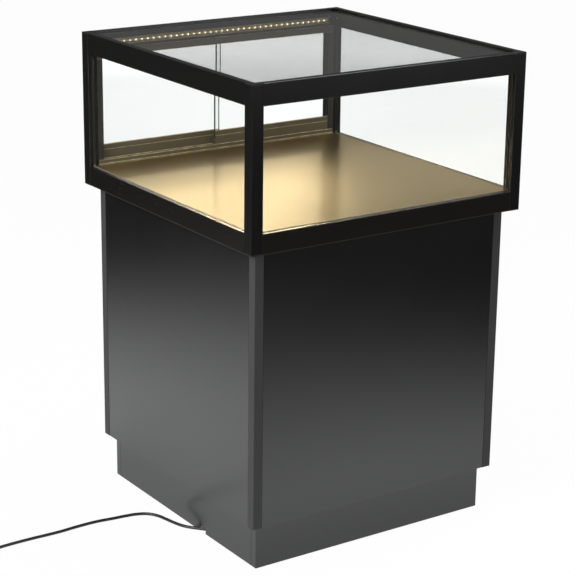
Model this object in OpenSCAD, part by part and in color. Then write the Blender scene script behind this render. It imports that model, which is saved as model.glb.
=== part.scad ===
// Pedestal display case: a glazed case with a lit top rail and sliding rear doors, on a panelled pedestal.
// Millimetres, +Z up. The origin is on the floor under the middle of the plinth, and -Y is the viewing side.

/* [Case frame] */
// Width of the glass case, side to side
case_w = 610; // [580:1:680]
// Depth of the glass case, front to back
case_d = 610; // [580:1:680]
// Height of the glass case
case_h = 304; // [280:1:360]
// Width of the case's posts and rails
frame_w = 24; // [23:0.5:28]
// Wall of the case's extrusions
frame_wall = 2; // [1.6:0.1:2.3]
// Rounding of the outer edges of posts and rails
frame_edge_r = 1; // [0.5:0.1:3]
// Height of the front and side top rails
top_rail_h = 40; // [36:1:44]
// Height of the rear top rail, above the upper door track
rear_top_rail_h = 38; // [36:1:44]
// Height of the bottom rails
bottom_rail_h = 38; // [36:1:44]
// Width of the lip round the top glass
top_lip_w = 14; // [12:0.5:16]
// Width of the ledge inside the bottom rails
ledge_w = 12; // [10:0.5:16]
// Thickness of that ledge
ledge_t = 2; // [1.5:0.1:3]
// Thickness of the caps on the post ends
cap_t = 1.5; // [1:0.1:2.5]
// Depth of the spigot on a post cap
cap_spigot = 5; // [3:0.5:7]

/* [Rail locks] */
// Length of a lock inside a rail's end
lock_len = 30; // [24:1:40]
// Width of a lock
lock_w = 6; // [5:0.1:6.5]
// Height of a lock
lock_h = 14; // [12:0.5:15]
// Height of the tongue that enters the post
tongue_h = 10; // [6:0.5:12]
// Reach of the tongue past the rail's end
tongue_len = 6; // [4:0.5:8]
// Diameter of a lock's cam screw
lock_screw_d = 4; // [3:0.1:4.5]
// Distance of the cam screw from the rail's end
lock_screw_in = 11; // [8:0.5:14]
// Key width of the cam screw's hexagon socket
lock_key = 2; // [1.5:0.1:2.5]
// Depth of that socket
lock_key_depth = 2.5; // [1.5:0.1:4]

/* [Glass] */
// Thickness of the front and side panes
glass_t = 6; // [5:0.1:6.4]
// Thickness of the top pane
top_glass_t = 6; // [5:0.1:8]
// Thickness of the bedding tape under the top pane
bed_tape_t = 0.5; // [0.3:0.1:1]
// Width of the bedding tape
bed_tape_w = 8; // [5:0.5:9]
// Gap round the top pane
top_glass_gap = 0.5; // [0.2:0.1:1]
// How far the top pane lies below its lip
top_recess = 4; // [2:0.1:5]
// How far the panes enter their grooves
glass_bite = 6; // [4:0.1:6.5]
// Depth of the glazing grooves
groove_depth = 7; // [6.6:0.1:7.3]
// Wall of the gasket on each face of a pane
gasket_t = 0.6; // [0.4:0.1:0.8]
// How far the gasket stands out of its groove
gasket_lip = 0.3; // [0.2:0.1:2]

/* [Sliding doors] */
// Thickness of the door panes
door_glass_t = 5; // [4:0.1:5.4]
// Overlap of the two closed doors
door_overlap = 16; // [10:1:40]
// Gap between a closed door and its jamb
door_gap = 0.5; // [0.3:0.1:2]
// Height of the lower track
lower_track_h = 11; // [9:0.5:14]
// Height of the upper track
upper_track_h = 15; // [13:0.5:22]
// Width of the jambs beside the doors
jamb_w = 11.5; // [9:0.5:14]
// Thickness of a jamb's back
jamb_back_t = 3; // [2:0.1:5]
// Wall of the tracks and the jambs
track_wall = 2; // [1.5:0.1:2.3]
// Floor of the lower track
track_floor_t = 3.5; // [2.5:0.1:5]
// How far the lower track's floor covers the deck
track_lip = 2; // [1:0.1:4]
// Roof of the upper track
track_roof_t = 2; // [1.5:0.1:3]
// Height of the shoe's foot, below its step
shoe_foot_h = 24; // [22:0.5:30]
// Height of the shoe's grip, above its step
shoe_grip_h = 10; // [6:0.5:14]
// Wall of the grip on each face of the glass
shoe_grip_t = 1.1; // [0.8:0.1:1.3]
// How far the glass enters the shoe
shoe_bite = 18; // [14:0.5:20]
// Wall of the shoe's foot
shoe_wall = 1.5; // [1.2:0.1:2]
// Depth of the pocket under the shoe
shoe_pocket = 12; // [8:0.5:13]
// How far the shoe stands above the track's floor
shoe_stand = 0.8; // [0.5:0.1:1.5]
// Length of a nylon glide
glide_len = 24; // [16:1:40]
// Distance of the glides from the door's ends
glide_in = 20; // [5:1:60]
// How far the glass enters the upper track
door_top_bite = 6.5; // [4:0.5:10]
// Running gap beside the shoe and under the glides
run_gap = 0.3; // [0.2:0.05:0.5]

/* [Light bar] */
// Depth of the light bar below the top of the case
led_drop = 25.5; // [20:0.5:28]
// Gap between the bar's ends and the posts
led_bar_in = 18; // [12:0.5:30]
// Height of the bar
led_bar_h = 12; // [10:0.5:14]
// Depth of the bar
led_bar_d = 7.5; // [6:0.5:12]
// Wall of the bar
led_wall = 1.2; // [0.8:0.1:1.6]
// Thickness of the tape behind the bar
led_tape_t = 0.8; // [0.5:0.1:1.5]
// Thickness of the circuit strip
led_board_t = 1; // [0.6:0.1:1.6]
// Pitch of the LEDs
led_pitch = 13.3; // [8:0.1:20]
// Least distance of an LED from the bar's end
led_end = 9; // [6:0.5:15]
// Width of an LED
led_w = 3.5; // [2:0.1:5]
// Height of an LED
led_h = 2.8; // [2:0.1:5]
// Thickness of an LED
led_t = 1.5; // [0.8:0.1:2]
// Thickness of the bar's end caps
led_cap_t = 2; // [1:0.1:3]
// Diameter of the lead to the bar
lead_d = 4; // [3:0.1:4.4]
// Radius of the lead's bends
lead_bend_r = 8; // [6:0.5:9]
// Distance of the lead's riser from the plinth's boards
lead_in = 14; // [6:0.5:18]

/* [Deck] */
// Thickness of the display deck
deck_t = 12; // [9:0.5:13]
// Thickness of the deck's lip, which covers the rails as far as the panes
deck_lip_t = 3; // [2:0.1:4]
// Thickness of the board that carries the case
case_floor_t = 16; // [12:0.5:17]
// Gap round the deck and the board
deck_gap = 0.5; // [0.3:0.1:1.5]
// Width of the battens between the two
batten_w = 20; // [12:1:30]
// Distance of a batten's ends from the rails
batten_in = 66; // [62:1:100]

/* [Pedestal] */
// Height of the pedestal's body
body_h = 533; // [400:1:700]
// How far the body stands back under the case
body_inset = 22.5; // [20:0.5:26]
// Width of the body's corner posts
body_post_w = 19; // [18.5:0.5:24]
// Wall of the corner posts
body_post_wall = 1.6; // [1.2:0.1:2]
// Rounding of the corner posts' outer edge
body_edge_r = 1; // [0.5:0.1:3]
// Width of the flanges behind the panels
flange_w = 20; // [14:1:30]
// Thickness of the flanges
flange_t = 2; // [1.5:0.1:2]
// Thickness of the body's panels
panel_t = 16; // [12:0.5:16]
// How far the panels lie behind the posts' faces
panel_recess = 0.5; // [0:0.1:0.6]
// Gap between a panel and its post
panel_gap = 0.4; // [0.2:0.1:1]
// Thickness of the pedestal's top and bottom boards
board_t = 16; // [12:0.5:22]

/* [Plinth] */
// Height of the plinth
plinth_h = 90; // [84:1:98]
// How far the plinth stands back under the body
plinth_inset = 17.5; // [15:0.5:30]
// Thickness of the plinth's boards
plinth_t = 16; // [12:0.5:20]
// Width of the blocks in the plinth's corners
block_w = 25; // [18:1:32]
// Height of those blocks
block_h = 70; // [50:1:74]
// How far the blocks stay below the pedestal's bottom board
block_drop = 8; // [6:0.5:10]
// Width of the cord's notch
notch_w = 34; // [30:1:44]
// Height of the cord's notch
notch_h = 10; // [8:0.5:14]

/* [Fasteners] */
// Diameter of the wood screws
screw_d = 4; // [3:0.1:5]
// Diameter of the screw heads
screw_head_d = 8; // [6:0.5:10]
// Thickness of the screw heads
screw_head_t = 2.5; // [1.5:0.1:4]
// How far the screws bite into a board
screw_bite = 11; // [7:0.5:11.5]
// Screws along one flange
flange_screws = 3; // [2:1:6]
// Distance of the end screws from a flange's ends
flange_screw_in = 45; // [20:1:100]
// Diameter of the bolts that hold the case down
bolt_d = 6; // [5:0.5:8]
// Diameter of their heads
bolt_head_d = 12; // [10:0.5:16]
// Thickness of their heads
bolt_head_t = 4; // [3:0.5:6]
// How far the bolts enter the board that carries the case
bolt_bite = 11; // [7:0.5:11.5]
// Distance of the bolts from the middle, each way
bolt_out = 200; // [120:1:215]

/* [LED driver] */
// Length of the driver
driver_l = 110; // [80:1:150]
// Width of the driver
driver_w = 42; // [30:1:60]
// Height of the driver
driver_h = 28; // [24:1:36]
// Length of a driver's fixing ear
ear_l = 20; // [14:1:30]
// Reach of the ear
ear_w = 12; // [10:0.5:18]
// Thickness of the ear
ear_t = 3; // [2:0.1:5]
// Length of the cord's strain relief
gland_l = 26; // [20:1:40]
// Diameter of the strain relief at the driver
gland_d = 12; // [9:0.5:16]

/* [Cord] */
// Diameter of the mains cord
cord_d = 6; // [5:0.1:6.2]
// Wall of the cord's strain reliefs at their mouths
relief_wall = 0.6; // [0.4:0.1:1.5]
// Inner radius of the coil, at the cord's middle
coil_r = 26.5; // [24:0.5:40]
// Spacing of the coil's turns
coil_step = 6.6; // [6.5:0.1:9]
// Turns of the coil, in and out
coil_turns = 5.25; // [3.25:1:7.25]
// Thickness of the tie
tie_t = 0.6; // [0.4:0.1:1]
// Width of the tie
tie_w = 10; // [6:0.5:16]
// Width of the plug's body
plug_w = 26; // [22:1:34]
// Thickness of the plug's body
plug_t = 20; // [16:0.5:20]
// Length of the plug's body
plug_l = 30; // [24:1:40]
// Length of the plug's strain relief
plug_neck_l = 26; // [20:1:40]
// Largest diameter of the plug's strain relief
plug_neck_d = 11; // [9:0.5:14]
// Spacing of the plug's pins
pin_gap = 12.7; // [10:0.1:16]
// Height of a pin
pin_h = 6.3; // [5:0.1:8]
// Thickness of a pin
pin_t = 1.5; // [1:0.1:2]
// Length of a pin
pin_l = 16; // [12:0.5:20]

/* [Hidden] */
$fn = 48;
// Overcut that keeps cut faces clean
cut = 1;
// Clearance of fixed fits
fit_gap = 0.2;
// Corner rounding of the plug
plug_r = 5;
// Size of the plug's body at its strain relief, as a share of its size at the pins
plug_taper = 0.8;

// Heights
case_z = plinth_h + body_h;
case_top = case_z + case_h;
deck_z = case_z + bottom_rail_h;
top_rail_z = case_top - top_rail_h;
rear_top_z = case_top - rear_top_rail_h;
upper_track_z = rear_top_z - upper_track_h;
case_floor_z = case_z + ledge_t;
batten_z = case_floor_z + case_floor_t;
batten_h = bottom_rail_h - ledge_t - case_floor_t - deck_t;
board_top_z = case_z - board_t;

// Case frame
inner_w = case_w - 2 * frame_w;
inner_d = case_d - 2 * frame_w;
open_h = top_rail_z - deck_z;
pane_u = frame_w / 2;
groove_w = glass_t + 2 * gasket_t;
lobe_w = pane_u - groove_w / 2 - 2 * frame_wall;
rear_chamber_d = frame_w - groove_depth - 2 * frame_wall;
rebate_h = top_recess + top_glass_t + bed_tape_t;
rebate_z = case_top - rebate_h;
post_z = case_z + cap_t;
post_h = case_h - 2 * cap_t;

// Middles of the locks, above the underside of their rail
top_chamber_h = top_rail_h - rebate_h - groove_depth - 2 * frame_wall;
bottom_chamber_h = bottom_rail_h - groove_depth - 2 * frame_wall;
rear_chamber_top = rear_top_rail_h - rebate_h - frame_wall;
lock_v_bottom = frame_wall + bottom_chamber_h / 2;
lock_v_top = groove_depth + frame_wall + top_chamber_h / 2;
lock_v_rear = rear_chamber_top - lock_h / 2;

// Doors, with distances inwards from the rear face
channel_w = (frame_w - 3 * track_wall) / 2;
outer_channel_u = track_wall + channel_w / 2;
inner_channel_u = 2 * track_wall + channel_w * 3 / 2;
shoe_w = channel_w - 2 * run_gap;
shoe_z = deck_z + track_floor_t + shoe_stand;
shoe_top_z = shoe_z + shoe_foot_h + shoe_grip_h;
door_glass_z = shoe_top_z - shoe_bite;
door_glass_top = upper_track_z + door_top_bite;
door_reach = inner_w / 2 - jamb_back_t - door_gap;
door_w = door_reach + door_overlap / 2;
door_x = door_reach - door_w / 2;
jamb_z = deck_z + lower_track_h;
jamb_l = upper_track_z - jamb_z;
glide_z = deck_z + track_floor_t + run_gap;
glide_w = shoe_w - 2 * shoe_wall;

// Light bar, with distances inwards from the rear face
led_z = case_top - led_drop;
led_bar_l = inner_w - 2 * led_bar_in;
led_count = floor((led_bar_l - 2 * led_end) / led_pitch) + 1;
led_tape_u = frame_w;
led_bar_u = led_tape_u + led_tape_t;
led_board_u = led_bar_u + led_wall;
led_board_h = led_bar_h - 2 * led_wall - 2 * fit_gap;
led_chip_u = led_board_u + led_board_t;

// Pedestal
body_w = case_w - 2 * body_inset;
body_d = case_d - 2 * body_inset;
panel_back = panel_recess + panel_t;
board_notch = body_post_w + fit_gap;
flange_h = body_h - 2 * board_t;
flange_z = plinth_h + board_t;
plinth_w = body_w - 2 * plinth_inset;
plinth_d = body_d - 2 * plinth_inset;
block_z = plinth_h - block_drop - block_h;
screw_hole_d = screw_d + 2 * fit_gap;
bolt_hole_d = bolt_d + 2 * fit_gap;
bolt_reach = board_t + ledge_t + bolt_bite;

// Route of the mains cord, from its strain relief to the coil
cord_route = [
    [-150, -112, 74], [-160, -112, 74], [-172, -112, 72.8], [-187, -112, 66], [-201, -111, 52],
    [-214, -108.5, 34], [-227, -102.5, 17], [-240, -91, 6.5], [-252, -77, 3.1], [-264, -64, 3.1],
    [-275, -51, 3.1], [-285, -35, 3.1], [-292, -14, 3.1], [-297, 9, 3.1], [-303, 32, 3.1],
    [-315, 50, 3.1], [-333, 60, 3.1], [-357, 65, 3.1], [-384, 68, 3.1], [-412, 72, 3.1],
    [-440, 73, 3.1], [-468, 72, 3.1], [-496, 70, 3.1], [-524, 70, 3.1], [-552, 71, 3.1],
    [-580, 71, 3.2], [-608, 70, 3.4], [-634, 68, 3.7], [-658, 67, 3.9], [-670, 67, 3.9]
];
cord_sides = 8;
cord_start = cord_route[0];
cord_end = cord_route[len(cord_route) - 1];
// Middle of the cord's notch, between the two points that lie in the plinth's left board
notch_y = (cord_route[8].y + cord_route[9].y) / 2;

// Coil on the floor, wound clockwise from the end of the cord's route
coil_rings = 24;
coil_sides = 6;
coil_half = coil_turns / 2;
coil_out_r = coil_r + coil_step * coil_half;
coil_start = cord_end - [cord_d, 0, 0];
coil_mid = coil_start + [0, coil_out_r, 0];
coil_rise = coil_step;
// Angle from the coil's middle to the tie
tie_a = 60;

// Driver under the bottom board, behind the cord's strain relief
driver_x = cord_start.x + gland_l;
driver_y = cord_start.y;
driver_z = plinth_h - driver_h;

// Lead from the driver to the light bar
lead_x = plinth_w / 2 - plinth_t - lead_in;
lead_y = plinth_d / 2 - plinth_t - lead_in;
lead_under_z = plinth_h - block_drop + lead_d / 2 + fit_gap;
lead_gap_z = batten_z + batten_h - lead_d / 2 - fit_gap;
lead_bar_z = led_z - lead_d / 2;
lead_rail_u = frame_wall + lock_w + lead_d / 2 + 3 * fit_gap;
lead_rail_y = case_d / 2 - lead_rail_u;
lead_post_x = case_w / 2 - frame_w / 2;
lead_bar_x = led_bar_l / 2 - 2 * lead_d;
lead_hole_d = lead_d + 4 * fit_gap;
// Wider holes in the boards, where the lead bends into its riser
riser_hole_d = lead_d + lead_bend_r / 2;

// Colours
frame_black = [0.09, 0.09, 0.09];
panel_black = [0.12, 0.12, 0.13];
post_grey = [0.27, 0.27, 0.27];
deck_gold = [0.78, 0.64, 0.36];
glass_tint = [0.85, 0.92, 0.9, 0.3];
rubber_black = [0.05, 0.05, 0.05];
board_brown = [0.6, 0.5, 0.38];
metal_grey = [0.7, 0.7, 0.72];
warm_white = [1, 0.9, 0.65];

// Local frames: X along the side, Y inwards from its outer face, Z up
module on_front(d = case_d) { translate([0, -d / 2, 0]) children(); }
module on_rear(d = case_d) { mirror([0, 1, 0]) on_front(d) children(); }
module on_left(w = case_w) { mirror([1, -1, 0]) translate([0, -w / 2, 0]) children(); }
module on_right(w = case_w) { mirror([1, 0, 0]) on_left(w) children(); }

// Local frame at a corner: X and Y inwards from its outer edge
module at_corner(sx, sy, w = case_w, d = case_d) {
    translate([sx * w / 2, sy * d / 2, 0])
        mirror([max(sx, 0), 0, 0])
            mirror([0, max(sy, 0), 0])
                children();
}

// Section drawn with X inwards and Y up, run along the side
module along(length) {
    rotate([90, 0, 90]) linear_extrude(length, center = true) children();
}

// Cylinder that runs inwards from a point
module inward(d, length, sides = 48) {
    rotate([-90, 0, 0]) cylinder(d = d, h = length, $fn = sides);
}

// Square with its outer corner rounded
module corner_square(w, r) {
    translate([r, r]) circle(r);
    translate([r, 0]) square([w - r, w]);
    translate([0, r]) square([w, w - r]);
}

// Bar section with its two outer edges rounded
module bar_section(w, h, r) {
    translate([r, r]) circle(r);
    translate([r, h - r]) circle(r);
    translate([r, 0]) square([w - r, h]);
    translate([0, r]) square([w, h - 2 * r]);
}

// Case posts
module post_groove() {
    translate([pane_u - groove_w / 2, frame_w - groove_depth]) square([groove_w, groove_depth + cut]);
}

module post_section(rear) {
    difference() {
        corner_square(frame_w, frame_edge_r);
        translate([frame_wall, frame_wall]) {
            square([lobe_w, frame_w - 2 * frame_wall]);
            square([frame_w - 2 * frame_wall, rear ? rear_chamber_d : lobe_w]);
        }
        post_groove();
        if (!rear)
            mirror([1, -1]) post_groove();
    }
}

// Slot through a post's wall for a lock's tongue, for a rail along X
module tongue_slot(z) {
    translate([frame_w - frame_wall - cut, frame_wall, z - tongue_h / 2 - fit_gap])
        cube([frame_wall + 2 * cut, lobe_w, tongue_h + 2 * fit_gap]);
}

module case_post(rear) {
    difference() {
        translate([0, 0, post_z]) linear_extrude(post_h) post_section(rear);
        translate([top_lip_w, top_lip_w, rebate_z]) cube([frame_w, frame_w, rebate_h]);
        tongue_slot(case_z + lock_v_bottom);
        tongue_slot(rear ? rear_top_z + lock_v_rear : top_rail_z + lock_v_top);
        mirror([1, -1, 0]) {
            tongue_slot(case_z + lock_v_bottom);
            tongue_slot(top_rail_z + lock_v_top);
        }
    }
}

module post_front_left() { color(frame_black) at_corner(-1, -1) case_post(false); }
module post_front_right() { color(frame_black) at_corner(1, -1) case_post(false); }
module post_rear_left() { color(frame_black) at_corner(-1, 1) case_post(true); }

// Hole along X through the post's inner wall for the lead
module lead_wall_hole(z) {
    translate([lead_post_x - frame_w / 2 - cut, lead_rail_y, z])
        rotate([0, 90, 0])
            cylinder(d = lead_hole_d, h = frame_wall + 2 * cut);
}

module post_rear_right() {
    color(frame_black)
        difference() {
            at_corner(1, 1) case_post(true);
            lead_wall_hole(lead_gap_z);
            lead_wall_hole(lead_bar_z);
        }
}

module post_cap(top) {
    spigot_z = top ? case_top - cap_t - cap_spigot : case_z + cap_t;
    difference() {
        translate([0, 0, top ? case_top - cap_t : case_z])
            linear_extrude(cap_t) corner_square(frame_w, frame_edge_r);
        if (top)
            translate([top_lip_w, top_lip_w, rebate_z]) cube([frame_w, frame_w, rebate_h + cut]);
    }
    translate([frame_wall + fit_gap, frame_wall + fit_gap, spigot_z])
        cube([lobe_w - 2 * fit_gap, frame_w - 2 * frame_wall - 2 * fit_gap, cap_spigot]);
}

module post_caps() {
    color(frame_black)
        for (sx = [-1, 1], sy = [-1, 1], top = [false, true])
            at_corner(sx, sy) post_cap(top);
}

// Case rails
module cam_screw_holes(length, z) {
    for (s = [-1, 1])
        translate([s * (length / 2 - lock_screw_in), frame_w - frame_wall - cut, z])
            inward(lock_screw_d + 2 * fit_gap, frame_wall + 2 * cut);
}

module top_rebate(h) {
    translate([top_lip_w, h - rebate_h]) square([frame_w, rebate_h + cut]);
}

module top_rail_section() {
    difference() {
        bar_section(frame_w, top_rail_h, frame_edge_r);
        top_rebate(top_rail_h);
        translate([pane_u - groove_w / 2, -cut]) square([groove_w, groove_depth + cut]);
        translate([frame_wall, groove_depth + frame_wall]) square([frame_w - 2 * frame_wall, top_chamber_h]);
    }
}

module top_rail(length) {
    difference() {
        translate([0, 0, top_rail_z]) along(length) top_rail_section();
        cam_screw_holes(length, top_rail_z + lock_v_top);
    }
}

module rear_top_section() {
    difference() {
        bar_section(frame_w, rear_top_rail_h, frame_edge_r);
        top_rebate(rear_top_rail_h);
        translate([frame_wall, frame_wall])
            square([frame_w - 2 * frame_wall, rear_top_rail_h - rebate_h - 2 * frame_wall]);
    }
}

module top_rail_front() { color(frame_black) on_front() top_rail(inner_w); }
module top_rail_left() { color(frame_black) on_left() top_rail(inner_d); }
module top_rail_right() { color(frame_black) on_right() top_rail(inner_d); }
module top_rail_rear() {
    color(frame_black)
        on_rear()
            difference() {
                translate([0, 0, rear_top_z]) along(inner_w) rear_top_section();
                cam_screw_holes(inner_w, rear_top_z + lock_v_rear);
                translate([lead_bar_x, frame_w - frame_wall - cut, lead_bar_z])
                    inward(lead_hole_d, frame_wall + 2 * cut);
            }
}

module bottom_section(glazed) {
    chamber_h = bottom_chamber_h + (glazed ? 0 : groove_depth);
    difference() {
        bar_section(frame_w, bottom_rail_h, frame_edge_r);
        translate([frame_wall, frame_wall]) square([frame_w - 2 * frame_wall, chamber_h]);
        if (glazed) {
            translate([pane_u - groove_w / 2, bottom_rail_h - groove_depth])
                square([groove_w, groove_depth + cut]);
            translate([pane_u, bottom_rail_h - deck_lip_t]) square([frame_w, deck_lip_t + cut]);
        }
    }
}

module bottom_rail(length, ledge_l, glazed) {
    difference() {
        union() {
            translate([0, 0, case_z]) along(length) bottom_section(glazed);
            translate([-ledge_l / 2, frame_w - frame_wall / 2, case_z])
                cube([ledge_l, ledge_w + frame_wall / 2, ledge_t]);
        }
        cam_screw_holes(length, case_z + lock_v_bottom);
    }
}

module bottom_rail_front() { color(frame_black) on_front() bottom_rail(inner_w, inner_w, true); }
module bottom_rail_left() { color(frame_black) on_left() side_bottom_rail(); }
module bottom_rail_right() { color(frame_black) on_right() side_bottom_rail(); }
module side_bottom_rail() { bottom_rail(inner_d, inner_d - 2 * ledge_w - 2 * fit_gap, true); }
module bottom_rail_rear() {
    color(frame_black)
        on_rear()
            difference() {
                bottom_rail(inner_w, inner_w, false);
                translate([lead_x, frame_w - frame_wall - cut, lead_gap_z])
                    inward(lead_hole_d, frame_wall + 2 * cut);
            }
}

// Locks that draw the rails onto the posts, one in each rail end
module rail_lock(length, z) {
    difference() {
        union() {
            translate([length / 2 - lock_len, frame_wall, z - lock_h / 2]) cube([lock_len, lock_w, lock_h]);
            translate([length / 2 - cut, frame_wall + fit_gap, z - tongue_h / 2])
                cube([tongue_len + cut, lobe_w - 2 * fit_gap, tongue_h]);
        }
        translate([length / 2 - lock_screw_in, frame_wall + cut, z])
            inward(lock_screw_d + 2 * fit_gap, lock_w);
    }
}

module cam_screw(length, z) {
    translate([length / 2 - lock_screw_in, frame_wall + cut, z])
        difference() {
            inward(lock_screw_d, frame_w - frame_wall - cut);
            translate([0, frame_w - frame_wall - cut - lock_key_depth, 0])
                inward(lock_key * 2 / sqrt(3), lock_key_depth + cut, 6);
        }
}

// Draws children at both ends of one side
module both_ends() {
    for (s = [0, 1])
        mirror([s, 0, 0]) children();
}

module all_rail_ends(screws) {
    module end_piece(length, z) {
        if (screws) cam_screw(length, z);
        else rail_lock(length, z);
    }
    module glazed_side(length) {
        both_ends() {
            end_piece(length, case_z + lock_v_bottom);
            end_piece(length, top_rail_z + lock_v_top);
        }
    }
    on_front() glazed_side(inner_w);
    on_left() glazed_side(inner_d);
    on_right() glazed_side(inner_d);
    on_rear()
        both_ends() {
            end_piece(inner_w, case_z + lock_v_bottom);
            end_piece(inner_w, rear_top_z + lock_v_rear);
        }
}

module rail_locks() { color(metal_grey) all_rail_ends(false); }
module lock_screws() { color(metal_grey) all_rail_ends(true); }

// Fixed glass
module pane_box(length, bite, t) {
    translate([-length / 2 - bite, pane_u - t / 2, deck_z - bite])
        cube([length + 2 * bite, t, open_h + 2 * bite]);
}

module gasket(length) {
    difference() {
        pane_box(length, groove_depth, groove_w);
        pane_box(length, -gasket_lip, groove_w + 2 * cut);
        pane_box(length, glass_bite, glass_t);
    }
}

module front_glass() { color(glass_tint) on_front() pane_box(inner_w, glass_bite, glass_t); }
module left_glass() { color(glass_tint) on_left() pane_box(inner_d, glass_bite, glass_t); }
module right_glass() { color(glass_tint) on_right() pane_box(inner_d, glass_bite, glass_t); }

// Flat plate centred on the case, set in from its outer faces
module centred_plate(inset, z, t) {
    translate([-case_w / 2 + inset, -case_d / 2 + inset, z])
        cube([case_w - 2 * inset, case_d - 2 * inset, t]);
}

module top_glass() {
    color(glass_tint) centred_plate(top_lip_w + top_glass_gap, rebate_z + bed_tape_t, top_glass_t);
}

// Gaskets of the panes, tape that beds the top pane, and tape that holds the light bar
module seals_and_tapes() {
    color(rubber_black) {
        on_front() gasket(inner_w);
        on_left() gasket(inner_d);
        on_right() gasket(inner_d);
        difference() {
            centred_plate(top_lip_w + top_glass_gap, rebate_z, bed_tape_t);
            centred_plate(top_lip_w + top_glass_gap + bed_tape_w, rebate_z - cut, bed_tape_t + 2 * cut);
        }
        on_rear()
            difference() {
                translate([-led_bar_l / 2, led_tape_u, led_z - led_bar_h / 2])
                    cube([led_bar_l, led_tape_t, led_bar_h]);
                lead_bar_hole(led_tape_u, led_tape_t);
            }
    }
}

// Door tracks
module track_walls(h) {
    for (i = [0 : 2])
        translate([i * (channel_w + track_wall), 0]) square([track_wall, h]);
}

module lower_door_track() {
    color(frame_black)
        on_rear() translate([0, 0, deck_z]) along(inner_w) {
            square([frame_w + track_lip, track_floor_t]);
            track_walls(lower_track_h);
        }
}

module upper_door_track() {
    color(frame_black)
        on_rear() translate([0, 0, upper_track_z]) along(inner_w) {
            translate([0, upper_track_h - track_roof_t]) square([frame_w, track_roof_t]);
            track_walls(upper_track_h);
        }
}

// Upright channels at the ends of the tracks, which take the doors' edges
module door_jambs() {
    color(frame_black)
        on_rear()
            both_ends()
                translate([inner_w / 2, 0, jamb_z])
                    linear_extrude(jamb_l)
                        mirror([1, 0])
                            mirror([1, -1]) {
                                square([frame_w, jamb_back_t]);
                                track_walls(jamb_w);
                            }
}

// Sliding doors, drawn about the middle of the door
module door_place(s, u) { on_rear() translate([s * door_x, u, 0]) children(); }
module left_door_place() { door_place(-1, outer_channel_u) children(); }
module right_door_place() { door_place(1, inner_channel_u) children(); }

module door_pane() {
    translate([-door_w / 2, -door_glass_t / 2, door_glass_z])
        cube([door_w, door_glass_t, door_glass_top - door_glass_z]);
}

module door_shoe() {
    grip_w = door_glass_t + 2 * shoe_grip_t;
    translate([0, 0, shoe_z])
        along(door_w)
            difference() {
                union() {
                    translate([-shoe_w / 2, 0]) square([shoe_w, shoe_foot_h]);
                    translate([-grip_w / 2, 0]) square([grip_w, shoe_foot_h + shoe_grip_h]);
                }
                translate([-glide_w / 2, -cut]) square([glide_w, shoe_pocket + cut]);
                translate([-door_glass_t / 2, shoe_foot_h + shoe_grip_h - shoe_bite])
                    square([door_glass_t, shoe_bite + cut]);
            }
}

module door_glides() {
    for (s = [-1, 1])
        translate([s * (door_w / 2 - glide_in - glide_len / 2) - glide_len / 2, -glide_w / 2, glide_z])
            cube([glide_len, glide_w, shoe_z + shoe_pocket - glide_z]);
}

module left_door_glass() { color(glass_tint) left_door_place() door_pane(); }
module left_door_shoe() { color(frame_black) left_door_place() door_shoe(); }
module left_door_glides() { color("white") left_door_place() door_glides(); }
module right_door_glass() { color(glass_tint) right_door_place() door_pane(); }
module right_door_shoe() { color(frame_black) right_door_place() door_shoe(); }
module right_door_glides() { color("white") right_door_place() door_glides(); }

// Light bar on the rear top rail
module lead_bar_hole(u, length) {
    translate([lead_bar_x, u - cut, lead_bar_z]) inward(lead_hole_d, length + 2 * cut);
}

module led_bar() {
    color(metal_grey)
        on_rear()
            difference() {
                translate([-led_bar_l / 2, led_bar_u, led_z - led_bar_h / 2])
                    cube([led_bar_l, led_bar_d, led_bar_h]);
                translate([-led_bar_l / 2 - cut, led_board_u, led_z - led_bar_h / 2 + led_wall])
                    cube([led_bar_l + 2 * cut, led_bar_d, led_bar_h - 2 * led_wall]);
                lead_bar_hole(led_bar_u, led_wall);
            }
}

module led_board() {
    color("gold")
        on_rear()
            translate([-led_bar_l / 2, led_board_u, led_z - led_board_h / 2])
                cube([led_bar_l, led_board_t, led_board_h]);
}

module led_chips() {
    color(warm_white)
        on_rear()
            for (i = [0 : led_count - 1])
                translate([(i - (led_count - 1) / 2) * led_pitch - led_w / 2, led_chip_u, led_z - led_h / 2])
                    cube([led_w, led_t, led_h]);
}

module led_end_caps() {
    color(rubber_black)
        on_rear()
            both_ends()
                translate([led_bar_l / 2, led_bar_u, led_z - led_bar_h / 2])
                    cube([led_cap_t, led_bar_d, led_bar_h]);
}

// Deck, with a thin lip on three sides that rests on the rails
module deck_lip(length) {
    lip_u = pane_u + groove_w / 2 + deck_gap;
    translate([-length / 2 + deck_gap, lip_u, deck_z - deck_lip_t])
        cube([length - 2 * deck_gap, frame_w + deck_gap + cut - lip_u, deck_lip_t]);
}

module deck_panel() {
    color(deck_gold)
        union() {
            centred_plate(frame_w + deck_gap, deck_z - deck_t, deck_t);
            on_front() deck_lip(inner_w);
            on_left() deck_lip(inner_d);
            on_right() deck_lip(inner_d);
        }
}

// Battens and board under the deck

module deck_battens() {
    color(board_brown) {
        for (s = [0, 1])
            mirror([0, s, 0])
                on_front()
                    translate([-inner_w / 2 + batten_in, frame_w + deck_gap, batten_z])
                        cube([inner_w - 2 * batten_in, batten_w, batten_h]);
        for (s = [0, 1])
            mirror([s, 0, 0])
                on_left()
                    translate([-inner_d / 2 + batten_in, frame_w + deck_gap, batten_z])
                        cube([inner_d - 2 * batten_in, batten_w, batten_h]);
    }
}

// Upright hole for the lead's riser
module riser_hole(z, t) {
    translate([lead_x, lead_y, z - cut]) cylinder(d = riser_hole_d, h = t + 2 * cut);
}

module at_bolts() {
    for (sx = [-1, 1], sy = [-1, 1])
        translate([sx * bolt_out, sy * bolt_out, board_top_z]) children();
}

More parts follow.
